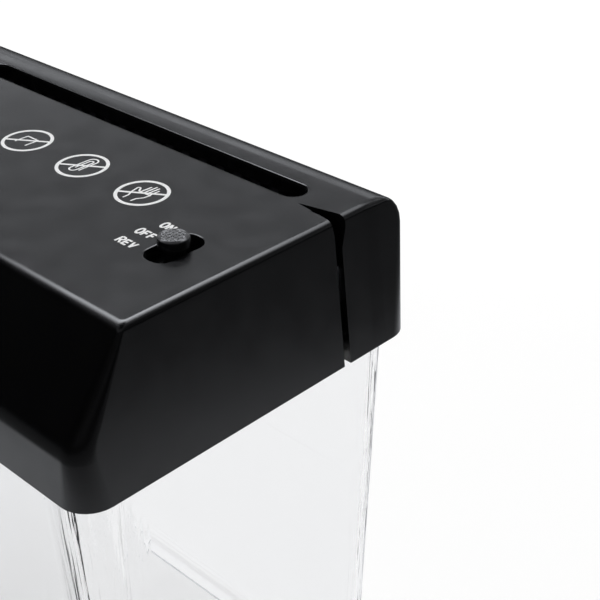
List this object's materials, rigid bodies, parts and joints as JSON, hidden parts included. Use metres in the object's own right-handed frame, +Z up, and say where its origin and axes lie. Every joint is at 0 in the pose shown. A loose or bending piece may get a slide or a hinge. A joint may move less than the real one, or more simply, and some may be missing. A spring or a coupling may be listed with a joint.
{
  "type": "paper shredder",
  "caption": "Small desktop strip-cut paper shredder: a black powered head with a paper slot, slide switch and letter-opener slit, seated on a clear bin.",
  "frame": {"origin": "under the middle of the bin, on the surface that the shredder stands on", "axes": "+Z up, +X along the paper slot to the right seen from the front, +Y to the back"},
  "size_m": [0.18, 0.095, 0.156],
  "materials": {
    "black_shell": "moulded ABS, fine texture",
    "chassis_plastic": "moulded ABS, satin",
    "clear_bin": "clear moulded polystyrene, polished",
    "knob_plastic": "moulded ABS with cross-hatched top",
    "switch_plastic": "moulded nylon, matt",
    "tool_steel": "ground steel",
    "plated_steel": "zinc-plated steel sheet",
    "fasteners": "zinc-plated screws and clips",
    "sintered_steel": "sintered steel gears",
    "nylon": "moulded white acetal",
    "bronze": "sintered bronze and turned brass",
    "black_insulator": "moulded nylon",
    "circuit_board": "lacquered laminate",
    "cell_jacket": "plain printed jacket over steel"
  },
  "bodies": {
    "bin": {"bin": "clear_bin"},
    "head": {"top_cover": "black_shell", "chassis": "chassis_plastic", "switch_body": "plated_steel", "switch_terminals": "bronze", "switch_screws": "fasteners", "opener_blade": "tool_steel", "case_screws": "fasteners", "battery_1": "cell_jacket", "battery_2": "cell_jacket", "battery_3": "cell_jacket", "battery_4": "cell_jacket", "front_contacts": "plated_steel", "rear_contacts": "plated_steel", "drive_plate": "plated_steel", "end_plate": "plated_steel", "tie_rod_1": "tool_steel", "tie_rod_2": "tool_steel", "tie_rod_3": "tool_steel", "tie_rod_4": "tool_steel", "front_comb": "chassis_plastic", "rear_comb": "chassis_plastic", "bush_1": "bronze", "bush_2": "bronze", "bush_3": "bronze", "bush_4": "bronze", "gear_axle_1": "tool_steel", "gear_axle_2": "tool_steel", "axle_clips": "fasteners", "motor_can": "plated_steel", "motor_end_cap": "black_insulator", "motor_terminals": "bronze", "motor_screws": "fasteners", "power_socket": "black_insulator", "socket_board": "circuit_board"},
    "front_cutter": {"front_shaft": "tool_steel", "front_discs": "tool_steel", "front_spacers": "nylon", "front_sync_gear": "sintered_steel", "main_gear": "nylon"},
    "rear_cutter": {"rear_shaft": "tool_steel", "rear_discs": "tool_steel", "rear_spacers": "nylon", "rear_sync_gear": "sintered_steel"},
    "gear_1": {"gear_1": "nylon"},
    "gear_2": {"gear_2": "nylon"},
    "rotor": {"motor_shaft": "tool_steel", "motor_pinion": "bronze"},
    "switch_slider": {"switch_knob": "knob_plastic", "switch_stem": "switch_plastic"},
    "battery_door": {"battery_door": "chassis_plastic"}
  },
  "joints": [
    {"name": "head_lift", "type": "slide", "parent": "bin", "child": "head", "axis": [0, 0, 1], "range_m": [0, 0.12]},
    {"name": "front_cutter_spin", "type": "hinge", "parent": "head", "child": "front_cutter", "pos_m": [0, 0.0221, 0.13575], "axis": [1, 0, 0], "continuous": true},
    {"name": "rear_cutter_spin", "type": "hinge", "parent": "head", "child": "rear_cutter", "pos_m": [0, 0.0361, 0.13575], "axis": [1, 0, 0], "continuous": true},
    {"name": "gear_2_spin", "type": "hinge", "parent": "head", "child": "gear_2", "pos_m": [0, 0.00551, 0.1343], "axis": [1, 0, 0], "continuous": true},
    {"name": "gear_1_spin", "type": "hinge", "parent": "head", "child": "gear_1", "pos_m": [0, -0.01087, 0.13573], "axis": [1, 0, 0], "continuous": true},
    {"name": "motor_spin", "type": "hinge", "parent": "head", "child": "rotor", "pos_m": [0, -0.02437, 0.13573], "axis": [1, 0, 0], "continuous": true},
    {"name": "switch_slide", "type": "slide", "parent": "head", "child": "switch_slider", "axis": [0, 1, 0], "range_m": [-0.004, 0.004]},
    {"name": "battery_door_swing", "type": "hinge", "parent": "head", "child": "battery_door", "pos_m": [0, 0.01362, 0.1189], "axis": [1, 0, 0], "range_deg": [0, 75]}
  ],
  "couplings": [
    {"joint": "rear_cutter_spin", "follows": "front_cutter_spin", "ratio": -1},
    {"joint": "gear_2_spin", "follows": "front_cutter_spin", "ratio": -2.3636},
    {"joint": "gear_1_spin", "follows": "front_cutter_spin", "ratio": 7.7355},
    {"joint": "motor_spin", "follows": "front_cutter_spin", "ratio": -34.036}
  ]
}
